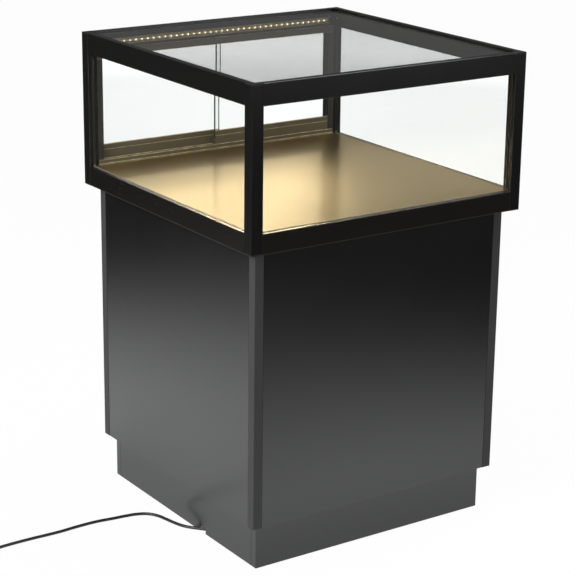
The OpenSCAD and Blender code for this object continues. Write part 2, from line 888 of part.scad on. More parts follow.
module case_floor() {
    color(board_brown)
        difference() {
            centred_plate(frame_w + deck_gap, case_floor_z, case_floor_t);
            riser_hole(case_floor_z, case_floor_t);
            at_bolts() cylinder(d = bolt_hole_d, h = bolt_reach + fit_gap);
        }
}

// Pedestal body
module flange_section() {
    translate([body_post_w - body_post_wall, panel_back]) square([flange_w + body_post_wall, flange_t]);
}

module body_post_section() {
    difference() {
        corner_square(body_post_w, body_edge_r);
        translate([body_post_wall, body_post_wall]) square(body_post_w - 2 * body_post_wall);
    }
}

// Places children at each screw of one flange, pointing outwards through the panel along X
module flange_screw_places() {
    pitch = (flange_h - 2 * flange_screw_in) / (flange_screws - 1);
    for (i = [0 : flange_screws - 1])
        translate([body_post_w + flange_w / 2, panel_back + flange_t, flange_z + flange_screw_in + i * pitch])
            rotate([90, 0, 0])
                children();
}

module body_post() {
    difference() {
        union() {
            translate([0, 0, plinth_h]) linear_extrude(body_h) body_post_section();
            translate([0, 0, flange_z]) linear_extrude(flange_h) flange_section();
            translate([0, 0, flange_z]) linear_extrude(flange_h) mirror([1, -1, 0]) flange_section();
        }
        flange_holes();
        mirror([1, -1, 0]) flange_holes();
    }
}

module flange_holes() {
    flange_screw_places()
        translate([0, 0, -cut])
            cylinder(d = screw_hole_d, h = flange_t + screw_bite + fit_gap + cut);
}

module at_body_corner(sx, sy) { at_corner(sx, sy, body_w, body_d) children(); }

module body_post_front_left() { color(post_grey) at_body_corner(-1, -1) body_post(); }
module body_post_front_right() { color(post_grey) at_body_corner(1, -1) body_post(); }
module body_post_rear_left() { color(post_grey) at_body_corner(-1, 1) body_post(); }
module body_post_rear_right() { color(post_grey) at_body_corner(1, 1) body_post(); }

module body_panel(length) {
    w = length - 2 * body_post_w - 2 * panel_gap;
    difference() {
        translate([-w / 2, panel_recess, plinth_h]) cube([w, panel_t, body_h]);
        both_ends() translate([-length / 2, 0, 0]) flange_holes();
    }
}

module body_panel_front() { color(panel_black) on_front(body_d) body_panel(body_w); }
module body_panel_rear() { color(panel_black) on_rear(body_d) body_panel(body_w); }
module body_panel_left() { color(panel_black) on_left(body_w) body_panel(body_d); }
module body_panel_right() { color(panel_black) on_right(body_w) body_panel(body_d); }

module pedestal_board(z) {
    inset = panel_back + fit_gap;
    difference() {
        translate([-body_w / 2 + inset, -body_d / 2 + inset, z])
            cube([body_w - 2 * inset, body_d - 2 * inset, board_t]);
        for (sx = [-1, 1], sy = [-1, 1])
            at_body_corner(sx, sy)
                translate([0, 0, z - cut]) cube([board_notch, board_notch, board_t + 2 * cut]);
        riser_hole(z, board_t);
    }
}

module pedestal_top() {
    color(board_brown)
        difference() {
            pedestal_board(board_top_z);
            at_bolts() translate([0, 0, -cut]) cylinder(d = bolt_hole_d, h = board_t + 2 * cut);
        }
}

module pedestal_bottom() {
    color(board_brown)
        difference() {
            pedestal_board(plinth_h);
            at_driver_screws() cylinder(d = screw_hole_d, h = ear_t + screw_bite + fit_gap);
        }
}

// Plinth
module plinth_board(length) {
    translate([-length / 2, 0, 0]) cube([length, plinth_t, plinth_h]);
}

module at_plinth_corner(sx, sy) { at_corner(sx, sy, plinth_w, plinth_d) children(); }

// Screws through a corner block into the front or rear board, and into a side board
module block_screw_places() {
    for (swap = [0, 1])
        mirror([swap, -swap, 0])
            translate([plinth_t + block_w / 2, plinth_t + block_w, block_z + block_h * (1 + swap) / 3])
                rotate([90, 0, 0])
                    children();
}

module block_screw_holes() {
    block_screw_places()
        translate([0, 0, -cut])
            cylinder(d = screw_hole_d, h = block_w + screw_bite + fit_gap + cut);
}

module all_block_holes() {
    for (sx = [-1, 1], sy = [-1, 1])
        at_plinth_corner(sx, sy) block_screw_holes();
}

module drilled() {
    difference() {
        children();
        all_block_holes();
    }
}

module plinth_front() { color(panel_black) drilled() on_front(plinth_d) plinth_board(plinth_w); }
module plinth_rear() { color(panel_black) drilled() on_rear(plinth_d) plinth_board(plinth_w); }
module plinth_right() { color(panel_black) drilled() on_right(plinth_w) plinth_side_board(); }
module plinth_side_board() { plinth_board(plinth_d - 2 * plinth_t); }

module plinth_left() {
    color(panel_black)
        difference() {
            drilled() on_left(plinth_w) plinth_side_board();
            translate([-plinth_w / 2 - cut, notch_y, 0])
                rotate([90, 0, 90])
                    linear_extrude(plinth_t + 2 * cut) {
                        square([notch_w - 2 * notch_h, 2 * notch_h], center = true);
                        for (s = [-1, 1])
                            translate([s * (notch_w / 2 - notch_h), 0]) circle(notch_h);
                    }
        }
}

module plinth_blocks() {
    color(board_brown)
        difference() {
            for (sx = [-1, 1], sy = [-1, 1])
                at_plinth_corner(sx, sy)
                    translate([plinth_t, plinth_t, block_z]) cube([block_w, block_w, block_h]);
            all_block_holes();
        }
}

// Fasteners of the pedestal, drawn with the head below the face that they clamp
module wood_screw(grip) {
    translate([0, 0, -screw_head_t]) cylinder(d = screw_head_d, h = screw_head_t);
    translate([0, 0, -cut]) cylinder(d = screw_d, h = grip + screw_bite + cut);
}

module pedestal_screws() {
    color(metal_grey) {
        for (sx = [-1, 1], sy = [-1, 1])
            at_body_corner(sx, sy) {
                flange_screw_places() wood_screw(flange_t);
                mirror([1, -1, 0]) flange_screw_places() wood_screw(flange_t);
            }
        for (sx = [-1, 1], sy = [-1, 1])
            at_plinth_corner(sx, sy) block_screw_places() wood_screw(block_w);
        at_driver_screws() wood_screw(ear_t);
        at_bolts() {
            translate([0, 0, -bolt_head_t]) cylinder(d = bolt_head_d, h = bolt_head_t);
            translate([0, 0, -cut]) cylinder(d = bolt_d, h = bolt_reach + cut);
        }
    }
}

// Driver under the bottom board
module at_driver_screws() {
    for (s = [-1, 1])
        translate([driver_x + driver_l / 2, driver_y + s * (driver_w + ear_w) / 2, plinth_h - ear_t])
            children();
}

module led_driver() {
    color([0.85, 0.85, 0.85])
        difference() {
            union() {
                translate([driver_x, driver_y - driver_w / 2, driver_z]) cube([driver_l, driver_w, driver_h]);
                translate([driver_x + driver_l / 2, driver_y, plinth_h - ear_t / 2])
                    cube([ear_l, driver_w + 2 * ear_w, ear_t], center = true);
            }
            at_driver_screws() translate([0, 0, -cut]) cylinder(d = screw_hole_d, h = ear_t + 2 * cut);
        }
}

module cord_strain_relief() {
    color(rubber_black)
        translate(cord_start)
            rotate([0, 90, 0])
                cylinder(d1 = cord_d + 2 * relief_wall, d2 = gland_d, h = gland_l);
}

// Tube swept along points, without twist, in triangles
function unit(v) = v / norm(v);
function heading(p, i) = unit(p[min(i + 1, len(p) - 1)] - p[max(i - 1, 0)]);
function across(n, t) = unit(n - (n * t) * t);
function normals(p, n0) = [
    for (i = 0, n = across(n0, heading(p, 0)); i < len(p);
         i = i + 1, n = i < len(p) ? across(n, heading(p, i)) : n) n
];
function ring(c, t, n, r, sides) = [
    for (j = [0 : sides - 1]) c + r * (cos(j * 360 / sides) * n + sin(j * 360 / sides) * cross(t, n))
];

module tube(p, d, sides, n0) {
    n = normals(p, n0);
    last = (len(p) - 1) * sides;
    points = [for (i = [0 : len(p) - 1]) each ring(p[i], heading(p, i), n[i], d / 2, sides)];
    walls = [
        for (i = [0 : len(p) - 2], j = [0 : sides - 1])
            let (a = i * sides + j, b = i * sides + (j + 1) % sides)
                each [[a, a + sides, b + sides], [a, b + sides, b]]
    ];
    ends = [for (j = [1 : sides - 2]) each [[0, j, j + 1], [last, last + j + 1, last + j]]];
    polyhedron(points, concat(walls, ends));
}

// Lead from the driver, through the boards and the rear right post, to the light bar
function bend(p, from, to) = [
    p - lead_bend_r * from, p + lead_bend_r * (1 - sqrt(1 / 2)) * (to - from), p + lead_bend_r * to
];
lead_points = [
    [driver_x + driver_l, driver_y, lead_under_z],
    each bend([lead_x, driver_y, lead_under_z], [1, 0, 0], [0, 1, 0]),
    each bend([lead_x, lead_y, lead_under_z], [0, 1, 0], [0, 0, 1]),
    each bend([lead_x, lead_y, lead_gap_z], [0, 0, 1], [0, 1, 0]),
    each bend([lead_x, lead_rail_y, lead_gap_z], [0, 1, 0], [1, 0, 0]),
    each bend([lead_post_x, lead_rail_y, lead_gap_z], [1, 0, 0], [0, 0, 1]),
    each bend([lead_post_x, lead_rail_y, lead_bar_z], [0, 0, 1], [-1, 0, 0]),
    each bend([lead_bar_x, lead_rail_y, lead_bar_z], [-1, 0, 0], [0, -1, 0]),
    [lead_bar_x, case_d / 2 - led_board_u, lead_bar_z]
];

module led_lead() { color(rubber_black) tube(lead_points, lead_d, cord_sides, [0, 0, 1]); }

// Mains cord on the floor
module power_cord() { color(rubber_black) tube(cord_route, cord_d, cord_sides, [0, 0, 1]); }

function ease(s) = let (c = min(max(s, 0), 1)) c * c * (3 - 2 * c);
function coil_point(t) =
    let (a = -90 - 360 * t, r = coil_r + coil_step * abs(t - coil_half))
        coil_mid + [r * cos(a), r * sin(a), coil_rise * ease(2 * (t - coil_half) + 1 / 2)];
coil_loops = [for (i = [0 : round(coil_turns * coil_rings)]) coil_point(i / coil_rings)];
coil_last = coil_loops[len(coil_loops) - 1];
// Heading of the coil's last turn, square to the plug
coil_out = [0, 1, 0];
coil_points = concat([cord_end], coil_loops, [coil_last + cord_d * coil_out]);
coil_gap = min([
    for (i = [0 : len(coil_points) - 1], j = [i + coil_rings / 2 : 1 : len(coil_points) - 1])
        norm(coil_points[i] - coil_points[j])
]) - cord_d;
echo(least_gap_of_the_coil_to_itself = coil_gap);

module cord_coil() { color(rubber_black) tube(coil_points, cord_d, coil_sides, [0, 0, 1]); }

module cord_tie() {
    inner = coil_r - cord_d / 2 - coil_step / 4;
    outer = coil_out_r + cord_d / 2 + coil_step / 4;
    top = coil_mid.z + coil_rise + cord_d / 2 + fit_gap;
    color([0.1, 0.1, 0.1])
        translate([coil_mid.x, coil_mid.y, 0])
            rotate(tie_a)
                translate([inner - tie_t, -tie_w / 2, 0])
                    difference() {
                        cube([outer - inner + 2 * tie_t, tie_w, top + tie_t]);
                        translate([tie_t, -cut, tie_t]) cube([outer - inner, tie_w + 2 * cut, top - tie_t]);
                    }
}

// Two-pin plug beside the coil
module plug_face(scale_by) {
    for (sx = [-1, 1], sy = [-1, 1])
        translate([sx * (plug_w * scale_by / 2 - plug_r), sy * (plug_t * scale_by / 2 - plug_r), 0])
            cylinder(r = plug_r, h = cut, $fn = 32);
}

// Local frame at the coil's end, with Z along the plug
module at_plug() {
    translate(coil_points[len(coil_points) - 1]) rotate([-90, 0, 0]) children();
}

module cord_plug() {
    color(rubber_black)
        at_plug() {
            hull() {
                cylinder(d = cord_d + 2 * relief_wall, h = cut, $fn = 32);
                translate([0, 0, plug_neck_l + cut]) cylinder(d = plug_neck_d, h = cut, $fn = 32);
            }
            translate([0, 0, plug_neck_l])
                hull() {
                    plug_face(plug_taper);
                    translate([0, 0, plug_l / 2]) plug_face(1);
                    translate([0, 0, plug_l - cut]) plug_face(1);
                }
        }
}

module plug_pins() {
    color(metal_grey)
        at_plug()
            for (s = [-1, 1])
                translate([s * pin_gap / 2 - pin_t / 2, -pin_h / 2, plug_neck_l + plug_l])
                    cube([pin_t, pin_h, pin_l]);
}

post_front_left();
post_front_right();
post_rear_left();
post_rear_right();
top_rail_front();
top_rail_rear();
top_rail_left();
top_rail_right();
bottom_rail_front();
bottom_rail_rear();
bottom_rail_left();
bottom_rail_right();
post_caps();
rail_locks();
lock_screws();
top_glass();
front_glass();
left_glass();
right_glass();
seals_and_tapes();
upper_door_track();
lower_door_track();
door_jambs();
left_door_glass();
left_door_shoe();
left_door_glides();
right_door_glass();
right_door_shoe();
right_door_glides();
led_bar();
led_board();
led_chips();
led_end_caps();
led_lead();
led_driver();
deck_panel();
deck_battens();
case_floor();
body_post_front_left();
body_post_front_right();
body_post_rear_left();
body_post_rear_right();
body_panel_front();
body_panel_rear();
body_panel_left();
body_panel_right();
pedestal_top();
pedestal_bottom();
plinth_front();
plinth_rear();
plinth_left();
plinth_right();
plinth_blocks();
pedestal_screws();
cord_strain_relief();
power_cord();
cord_coil();
cord_tie();
cord_plug();
plug_pins();
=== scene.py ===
"""Glass display case on a panelled pedestal.

Finishes, panes, boards, extrusions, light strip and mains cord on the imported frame. Lengths are in metres.
"""
import math

import bmesh
import bpy
from mathutils import Matrix, Vector
from mathutils.geometry import interpolate_bezier


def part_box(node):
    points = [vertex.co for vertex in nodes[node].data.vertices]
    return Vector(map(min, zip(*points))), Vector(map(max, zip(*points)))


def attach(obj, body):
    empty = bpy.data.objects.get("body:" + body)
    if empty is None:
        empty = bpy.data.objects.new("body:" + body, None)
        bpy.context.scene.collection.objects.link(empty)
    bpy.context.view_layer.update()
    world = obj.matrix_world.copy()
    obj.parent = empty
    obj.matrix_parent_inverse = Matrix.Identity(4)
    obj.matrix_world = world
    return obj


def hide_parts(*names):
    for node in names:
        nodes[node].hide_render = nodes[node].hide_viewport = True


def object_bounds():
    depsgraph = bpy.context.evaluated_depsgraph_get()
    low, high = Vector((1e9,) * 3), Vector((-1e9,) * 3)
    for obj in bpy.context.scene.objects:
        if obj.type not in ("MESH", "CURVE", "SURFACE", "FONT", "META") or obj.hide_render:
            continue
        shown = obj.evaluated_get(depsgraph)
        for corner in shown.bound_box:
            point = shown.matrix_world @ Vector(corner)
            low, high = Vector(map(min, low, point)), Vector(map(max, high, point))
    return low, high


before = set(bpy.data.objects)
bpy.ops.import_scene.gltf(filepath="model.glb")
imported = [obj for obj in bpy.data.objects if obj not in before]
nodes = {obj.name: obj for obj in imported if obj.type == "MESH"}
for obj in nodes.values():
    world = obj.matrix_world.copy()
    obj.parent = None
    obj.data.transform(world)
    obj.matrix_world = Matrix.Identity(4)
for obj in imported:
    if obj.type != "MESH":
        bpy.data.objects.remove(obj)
cad_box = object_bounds()
MM = 0.001
SIDES = ("front", "rear", "left", "right")


# Camera

def set_camera():
    """The viewing angle: from the front left corner, a little above the case."""
    stand, aim, roll = Vector((-1.9886, -2.8899, 1.5457)), Vector((-0.0191, 0, 0.4374)), 0.7164
    lens = bpy.data.cameras.new("camera")
    lens.lens, lens.sensor_width, lens.clip_end = 115.84, 36, 60
    camera = bpy.data.objects.new("camera", lens)
    bpy.context.scene.collection.objects.link(camera)
    look = (aim - stand).to_track_quat("-Z", "Y").to_matrix().to_4x4()
    camera.matrix_world = Matrix.Translation(stand) @ look @ Matrix.Rotation(math.radians(roll), 4, "Z")
    bpy.context.scene.camera = camera


# Shader maths

class Wire:
    """One output of a node. Sums and products of wires and numbers add Math nodes."""

    def __init__(self, tree, socket=None):
        self.tree, self.socket = tree, socket

    def add(self, kind, settings=(), inputs=(), out=0):
        """Adds a node: its settings first, then the values or wires of its sockets. Gives an output."""
        made = self.tree.nodes.new("ShaderNode" + kind)
        for name, value in dict(settings).items():
            setattr(made, name, value)
        for name, value in dict(inputs).items():
            if isinstance(value, Wire):
                self.tree.links.new(value.socket, made.inputs[name])
            else:
                made.inputs[name].default_value = value
        return Wire(self.tree, made.outputs[out])

    def beside(self, out):
        """Another output of the same node."""
        return Wire(self.tree, self.socket.node.outputs[out])

    def show(self):
        """Makes this shader the surface of its material."""
        self.tree.links.new(self.socket, self.tree.nodes["Material Output"].inputs["Surface"])

    def sum_of(self, sign, a, b):
        return self.add("Math", {"operation": sign}, {0: a, 1: b})

    def __add__(self, other): return self.sum_of("ADD", self, other)
    def __radd__(self, other): return self.sum_of("ADD", other, self)
    def __sub__(self, other): return self.sum_of("SUBTRACT", self, other)
    def __rsub__(self, other): return self.sum_of("SUBTRACT", other, self)
    def __mul__(self, other): return self.sum_of("MULTIPLY", self, other)
    def __rmul__(self, other): return self.sum_of("MULTIPLY", other, self)
    def __gt__(self, other): return self.sum_of("GREATER_THAN", self, other)
    def __mod__(self, other): return self.sum_of("FLOORED_MODULO", self, other)
    def __or__(self, other): return self.sum_of("MAXIMUM", self, other)
    def __abs__(self): return self.sum_of("ABSOLUTE", self, 0.0)


def noise(place, scale, detail=2.0, rough=0.5):
    return place.add("TexNoise", {}, {"Vector": place, "Scale": scale, "Detail": detail, "Roughness": rough})


def stretched(place, scale):
    return place.add("Mapping", {}, {"Vector": place, "Scale": scale})


def axes_of(place):
    """The X, Y and Z of a place."""
    x = place.add("SeparateXYZ", {}, {0: place}, out="X")
    return x, x.beside("Y"), x.beside("Z")


def grey(level):
    return level, level, level


def between(share, low, high):
    """Colour from low to high by a wire from 0 to 1. Either colour may itself be a wire."""
    low, high = (colour if isinstance(colour, Wire) else (*colour, 1) for colour in (low, high))
    return share.add("Mix", {"data_type": "RGBA"}, {0: share, 6: low, 7: high}, out=2)


def eased(wire, low, high):
    """From 0 at low to 1 at high."""
    ends = {"Value": wire, "From Min": low, "From Max": high}
    return wire.add("MapRange", {"interpolation_type": "SMOOTHSTEP"}, ends)


def bump(height, strength, depth):
    return height.add("Bump", {}, {"Height": height, "Strength": strength, "Distance": depth})


def finish(name, shade, **fixed):
    """A material: fixed values on the shader's own sockets, and what shade makes of the Object coordinates.

    An underscore in the name of a fixed value stands for a space in the name of its socket.
    """
    made = bpy.data.materials.new(name)
    made.use_nodes = True
    tree = made.node_tree
    shader = tree.nodes["Principled BSDF"]
    for socket, value in fixed.items():
        shader.inputs[socket.replace("_", " ")].default_value = value
    place = Wire(tree).add("TexCoord", out="Object")
    for socket, wire in shade(place).items():
        tree.links.new(wire.socket, shader.inputs[socket])
    return made


def main_shader(made):
    """A finish's own shader, to mix with others."""
    return Wire(made.node_tree, made.node_tree.nodes["Principled BSDF"].outputs[0])


def bare_material(name):
    """A material without a shader, and a wire to start its nodes from."""
    made = bpy.data.materials.new(name)
    made.use_nodes = True
    tree = made.node_tree
    tree.nodes.remove(tree.nodes["Principled BSDF"])
    return made, Wire(tree)


# Finishes

def extruded(name, along, dark, pale, rough, **fixed):
    """Anodised extrusion: faint drawing lines along its length and a slightly uneven sheen."""
    stretch = {"x": (3, 2600, 2600), "y": (2600, 3, 2600), "z": (2600, 2600, 3)}[along]

    def shade(place):
        lines = noise(stretched(place, stretch), 1, 3)
        cloud = noise(place, 11, 3)
        return {
            "Base Color": between(lines, dark, pale),
            "Roughness": lines * 0.05 + cloud * 0.06 + (rough - 0.055),
            "Normal": bump(lines, 0.03, 0.00005),
        }
    return finish(name, shade, **fixed)


def worn_and_highlit_edge(name, coat, metal, rough, above=0):
    """Edge of an anodised extrusion: paler metal in streaks and specks above a height, for wear and a painted
    edge highlight.
    """
    def shade(place):
        height = axes_of(place)[2]
        streaks = noise(place, 60, 4, 0.7)
        specks = noise(place, 900, 2)
        # Streaks and specks of paler metal: wear, and a painted edge highlight
        wear_and_highlight = eased(streaks * 0.6 + specks * 0.4, 0.4, 0.62) * (height > above)
        return {
            "Base Color": between(wear_and_highlight, coat, metal),
            "Roughness": specks * 0.12 + (rough - 0.06),
            "Metallic": wear_and_highlight * 0.8,
        }
    return finish(name, shade)


def laminate(name):
    """Satin black laminate: a fine stipple and a barely uneven gloss."""
    def shade(place):
        stipple = noise(place, 1400, 2, 0.6)
        cloud = noise(place, 7, 3)
        return {
            "Base Color": between(cloud, (0.0045, 0.0044, 0.0043), (0.0065, 0.0064, 0.0064)),
            "Roughness": stipple * 0.06 + cloud * 0.05 + 0.2,
            "Normal": bump(stipple, 0.05, 0.0001),
        }
    return finish(name, shade, Specular_IOR_Level=0.88)


def matte_post(name):
    """Matte black powder coat: an even, fine pebble."""
    def shade(place):
        pebble = noise(place, 2200, 3, 0.6)
        cloud = noise(place, 13, 2)
        return {
            "Base Color": between(cloud, (0.044, 0.044, 0.046), (0.052, 0.052, 0.054)),
            "Roughness": pebble * 0.14 + 0.5,
            "Normal": bump(pebble, 0.12, 0.0002),
        }
    return finish(name, shade, Specular_IOR_Level=0.2)


def gold_deck(name):
    """Gold laminate with a short brushed grain. A soft sheen lies over a clearer reflection."""
    def shade(place):
        grain = noise(stretched(place, (420, 1500, 1500)), 1, 3, 0.7)
        fleck = noise(place, 900, 2)
        cloud = noise(place, 6, 3)
        return {
            "Base Color": between(grain * 0.7 + cloud * 0.3, (0.365, 0.285, 0.16), (0.47, 0.385, 0.235)),
            "Roughness": grain * 0.12 + fleck * 0.08 + 0.22,
            "Normal": bump(grain * 0.6 + fleck * 0.4, 0.1, 0.0002),
        }
    tint = (0.92, 0.8, 0.62, 1)
    made = finish(name, shade, Metallic=1.0, Specular_Tint=tint, Coat_Weight=0.4, Coat_Roughness=0.24)
    soft = main_shader(made)
    gold = Wire(soft.tree, soft.socket.node.inputs["Base Color"].links[0].from_socket)
    metal = {"Base Color": gold, "Metallic": 1.0, "Roughness": 0.11, "Specular Tint": tint}
    clear = gold.add("BsdfPrincipled", {}, metal)
    gold.add("MixShader", {}, {0: 0.45, 1: soft, 2: clear}).show()
    return made


def seal_rubber(name, deck_z):
    """Glazing seals and tapes: dark brown rubber, with a painted warm bronze sheen from the lit deck up to 4
    mm above the deck.
    """
    sheen_tall = 4 * MM

    def shade(place):
        height = axes_of(place)[2]
        pits = noise(place, 1600, 2, 0.6)
        # Painted warm sheen from the lit deck on the seals' lowest few millimetres
        deck_sheen = between(pits, (0.15, 0.12, 0.07), (0.2, 0.165, 0.1))
        rubber = between(pits, (0.017, 0.014, 0.011), (0.027, 0.022, 0.018))
        return {
            "Base Color": between(height > deck_z + sheen_tall, deck_sheen, rubber),
            "Roughness": pits * 0.16 + 0.42,
            "Normal": bump(pits, 0.1, 0.0001),
        }
    return finish(name, shade)


def fibre_board(name):
    """Raw fibreboard: brown felted fibres with pale and dark flecks."""
    def shade(place):
        fibre = noise(stretched(place, (160, 160, 420)), 1, 5, 0.7)
        felt = between(fibre, (0.27, 0.18, 0.105), (0.46, 0.335, 0.21))
        fleck = eased(noise(place, 700, 2), 0.6, 0.75)
        return {
            "Base Color": between(fleck, felt, (0.15, 0.095, 0.05)),
            "Roughness": fibre * 0.15 + 0.72,
            "Normal": bump(fibre, 0.3, 0.0004),
        }
    return finish(name, shade)


def moulded(name, dark, pale, rough):
    """Moulded plastic, rubber or sheath: fine eroded grain and a soft unevenness in colour."""
    def shade(place):
        pits = noise(place, 1600, 2, 0.6)
        cloud = noise(place, 40, 3)
        return {
            "Base Color": between(cloud, dark, pale),
            "Roughness": pits * 0.16 + cloud * 0.06 + (rough - 0.11),
            "Normal": bump(pits, 0.1, 0.0001),
        }
    return finish(name, shade)


def plated(name, dark, pale, rough):
    """Plated or turned metal: cloudy bloom and fine handling marks."""
    def shade(place):
        bloom = noise(place, 240, 4, 0.65)
        marks = noise(stretched(place, (300, 2600, 2600)), 1, 2)
        return {
            "Base Color": between(bloom, dark, pale),
            "Roughness": bloom * 0.2 + marks * 0.1 + (rough - 0.15),
            "Normal": bump(marks, 0.08, 0.0001),
        }
    return finish(name, shade, Metallic=1.0)


def clear_glass(name, tint):
    """Clear float glass. Light from the lamps passes straight through it."""
    def shade(place):
        smear = noise(place, 14, 3)
        return {"Roughness": eased(smear, 0.55, 0.95) * 0.012}
    made = finish(name, shade, Base_Color=(*tint, 1), Transmission_Weight=1.0, IOR=1.5)
    glass = main_shader(made)
    passing = glass.add("BsdfTransparent", {}, {"Color": (0.97, 0.98, 0.975, 1)})
    shadow = glass.add("LightPath", out="Is Shadow Ray")
    glass.add("MixShader", {}, {0: shadow, 1: glass, 2: passing}).show()
    return made


def ground_edge(name):
    """Ground and polished edge of a pane: dark green, with fine grinding lines."""
    def shade(place):
        lines = noise(stretched(place, (1200, 1200, 1200)), 1, 2)
        return {
            "Base Color": between(lines, (0.012, 0.022, 0.018), (0.028, 0.05, 0.042)),
            "Roughness": lines * 0.1 + 0.12,
        }
    return finish(name, shade)


def circuit_strip(name, row_z, pitch):
    """Dark solder mask with a painted glow round each LED, and two exposed copper pads at each place to cut
    the strip.
    """
    leds_between_cuts = 3
    pad_off, pad_half_wide, pad_half_tall = 2.4 * MM, 2.8 * MM, 1.6 * MM
    glow_full, glow_end = 1.2 * MM, 2.6 * MM

    def from_nearest(x, step):
        return abs((x + 0.5 * step) % step - 0.5 * step)

    def shade(place):
        x, _, z = axes_of(place)
        from_cut = from_nearest(x, leds_between_cuts * pitch)
        from_led = from_nearest(x, pitch)
        from_row = abs(z - row_z)
        masked = (from_cut > pad_half_wide) | (abs(from_row - pad_off) > pad_half_tall)
        grain = noise(place, 900, 2)
        mask = between(grain, (0.05, 0.042, 0.025), (0.075, 0.063, 0.038))
        # Painted glow on the mask round each LED and along the row
        lit = between(eased(from_led, 0.16 * pitch, 0.32 * pitch), (0.8, 0.68, 0.4), (0.3, 0.25, 0.09))
        return {
            "Base Color": between(masked, (0.55, 0.3, 0.14), mask),
            "Roughness": grain * 0.1 + 0.35,
            "Emission Color": between(eased(from_row, glow_full, glow_end), lit, (0, 0, 0)),
        }
    return finish(name, shade, Emission_Strength=1.0)


def phosphor(name):
    """Lit phosphor of an LED, a little brighter in places."""
    def shade(place):
        spots = noise(place, 1500, 2)
        return {
            "Base Color": between(spots, (0.75, 0.55, 0.2), (0.85, 0.65, 0.3)),
            "Emission Color": between(spots, (1.0, 0.86, 0.5), (1.0, 0.9, 0.58)),
            "Roughness": spots * 0.1 + 0.35,
        }
    return finish(name, shade, Emission_Strength=4.5)


BLACK, PALE_BLACK = (0.006, 0.006, 0.0058), (0.009, 0.009, 0.0088)
FRAME = {along: extruded("anodised_black_" + along, along, BLACK, PALE_BLACK, 0.22) for along in "xyz"}
# Edges of the black frame: pale grey metal streaks, wear with a faint painted highlight
FRAME_EDGE = worn_and_highlit_edge("worn_highlit_black_edge", (0.012, 0.012, 0.012), (0.09, 0.088, 0.082), 0.3)
# Warm tint on the bottom rails' reflections: a painted warm sheen of the LED light
WARM_SHEEN = (1.0, 0.86, 0.6, 1.0)
SILL = {along: extruded("warm_sheen_black_" + along, along, BLACK, PALE_BLACK, 0.26, Specular_Tint=WARM_SHEEN)
        for along in "xy"}
# Edges of the bottom rails: golden metal streaks, a painted warm highlight of the LED light
SILL_EDGE = worn_and_highlit_edge("painted_highlight_sill_edge", (0.05, 0.045, 0.034), (0.55, 0.48, 0.34), 0.5, above=0.645)
# Tracks, shoes and light bar: their lightness and warm tint are partly painted warm light from the lit deck
WARM_LIT_BRONZE = extruded("dark_bronze_warm_lit", "x", (0.066, 0.054, 0.032), (0.086, 0.071, 0.042), 0.3)
# Door jambs: their brown tint is partly a painted warm cast from the lit deck
JAMB = extruded("darker_bronze_warm_lit", "z", (0.02, 0.0185, 0.015), (0.028, 0.025, 0.02), 0.3)
# Edges of the tracks, shoes and light bar: golden metal streaks, a painted warm highlight of the LED light
BRONZE_EDGE = worn_and_highlit_edge("painted_highlight_bronze_edge", (0.2, 0.16, 0.085), (0.75, 0.6, 0.33), 0.3)
LAMINATE = laminate("satin_black_laminate")
POST = matte_post("matte_black_coat")
DECK = gold_deck("satin_gold_laminate")
BOARD = fibre_board("raw_fibreboard")
SEAL = seal_rubber("glazing_seal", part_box("deck_panel")[1].z)
SHEATH = moulded("cord_sheath", (0.012, 0.012, 0.013), (0.02, 0.02, 0.022), 0.4)
PLASTIC = moulded("black_moulding", (0.009, 0.009, 0.009), (0.014, 0.014, 0.014), 0.42)
NYLON = moulded("natural_nylon", (0.68, 0.66, 0.6), (0.78, 0.76, 0.7), 0.45)
DRIVER = moulded("grey_moulding", (0.5, 0.5, 0.49), (0.58, 0.58, 0.57), 0.5)
HOUSING = moulded("white_housing", (0.74, 0.73, 0.7), (0.82, 0.81, 0.78), 0.4)
STEEL = plated("zinc_plate", (0.46, 0.47, 0.5), (0.62, 0.62, 0.6), 0.38)
BRASS = plated("plain_brass", (0.6, 0.42, 0.17), (0.78, 0.58, 0.28), 0.3)
GLASS = clear_glass("clear_glass", (0.985, 1.0, 0.993))
EDGE = ground_edge("ground_edge")
LED_COUNT, LED_WIDE = 39, 3.5 * MM
LED_LOW, LED_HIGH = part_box("led_chips")
LED_Z = (LED_LOW.z + LED_HIGH.z) / 2
LED_PITCH = (LED_HIGH.x - LED_LOW.x - LED_WIDE) / (LED_COUNT - 1)
STRIP = circuit_strip("solder_mask", LED_Z, LED_PITCH)
GLOW = phosphor("lit_phosphor")


# Modelling

def start(add, **place):
    """Adds a primitive, puts its place into its mesh and opens it for shaping with nothing selected."""
    bpy.ops.object.select_all(action="DESELECT")
    add(**place)
    bpy.ops.object.transform_apply(location=True, rotation=True, scale=True)
    bpy.ops.object.mode_set(mode="EDIT")
    bpy.ops.mesh.select_all(action="DESELECT")


def middle(part):
    return sum((v.co for v in part.verts), Vector()) / len(part.verts)


def pick(kind, test):
    """Selects only the faces or edges of the open piece that pass the test."""
    bpy.ops.mesh.select_mode(type={"faces": "FACE", "edges": "EDGE"}[kind])
    bpy.ops.mesh.select_all(action="DESELECT")
    mesh = bmesh.from_edit_mesh(bpy.context.object.data)
    for part in getattr(mesh, kind):
        part.select_set(test(part))
    mesh.select_flush_mode()
    bmesh.update_edit_mesh(bpy.context.object.data)


def shut():
    """Leaves the open piece and gives its object."""
    bpy.ops.object.mode_set(mode="OBJECT")
    return bpy.context.object


def apply(piece, kind, **settings):
    """Adds a modifier with its settings and applies it."""
    made = piece.modifiers.new(kind.lower(), kind)
    for name, value in settings.items():
        setattr(made, name, value)
    bpy.context.view_layer.objects.active = piece
    bpy.ops.object.modifier_apply(modifier=made.name)


